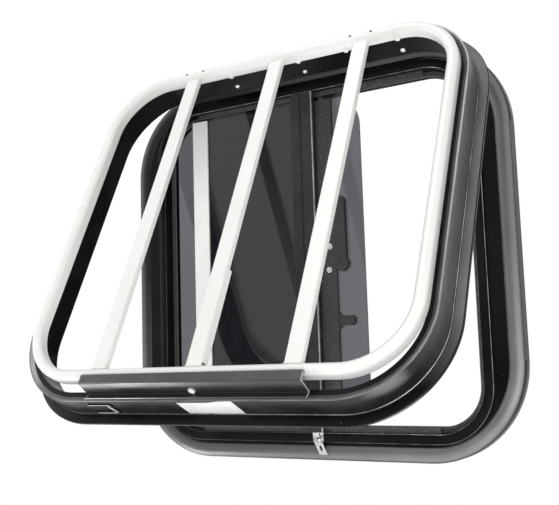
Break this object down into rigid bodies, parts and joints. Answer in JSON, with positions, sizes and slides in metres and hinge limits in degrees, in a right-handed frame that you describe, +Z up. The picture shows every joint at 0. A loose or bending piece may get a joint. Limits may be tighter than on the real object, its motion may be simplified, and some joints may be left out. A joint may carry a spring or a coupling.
{
  "type": "caravan window with guard bars",
  "caption": "Top-hung caravan window: black flanged wall frame with a white barred guard, and an outward-opening rounded leaf that holds a fixed and a sliding tinted pane.",
  "frame": {"origin": "middle of the bottom run of the flange, on the face that lies against the vehicle's wall", "axes": "+X to the right seen from inside the vehicle, +Y out of the vehicle, +Z up; the leaf hangs from the top and its foot swings towards +Y"},
  "size_m": [0.61, 0.3454, 0.576],
  "materials": {
    "black_frame": "black satin coated aluminium",
    "white_guard": "white gloss powder coat",
    "white_plastic": "white moulded plastic",
    "black_plastic": "black moulded plastic",
    "bright_steel": "bright steel",
    "grey_seal": "satin grey rubber",
    "gasket_rubber": "textured dark rubber",
    "tinted_glass": "grey tinted glass",
    "speckled_strip": "dark brown-black speckled strip"
  },
  "bodies": {
    "frame": {"wall_frame": "black_frame", "guard_ring": "white_guard", "guard_bar_left": "white_guard", "guard_bar_middle": "white_guard", "guard_bar_right": "white_guard", "latch_rail": "black_frame", "rail_button": "white_plastic", "weep_cover": "black_plastic", "wall_hinge": "black_frame", "hinge_pin": "bright_steel"},
    "leaf": {"leaf_frame": "black_frame", "leaf_hinge": "black_frame", "leaf_seal": "grey_seal", "glazing_frame": "black_frame", "glazing_gasket": "gasket_rubber", "fixed_pane": "tinted_glass", "centre_mullion": "black_frame", "upper_track": "gasket_rubber", "lower_track": "gasket_rubber", "catch_plate": "bright_steel", "catch_tongue": "bright_steel"},
    "slider": {"sliding_pane": "tinted_glass", "pull_stile": "white_plastic", "handle_strip": "speckled_strip", "pane_latch": "black_plastic", "latch_knob": "black_plastic"}
  },
  "joints": [
    {"name": "leaf_hinge_turn", "type": "hinge", "parent": "frame", "child": "leaf", "pos_m": [0, 0.014, 0.56275], "axis": [1, 0, 0], "range_deg": [-26.4, 50]},
    {"name": "pane_slide", "type": "slide", "parent": "leaf", "child": "slider", "axis": [1, 0, 0], "range_m": [0, 0.156]}
  ]
}
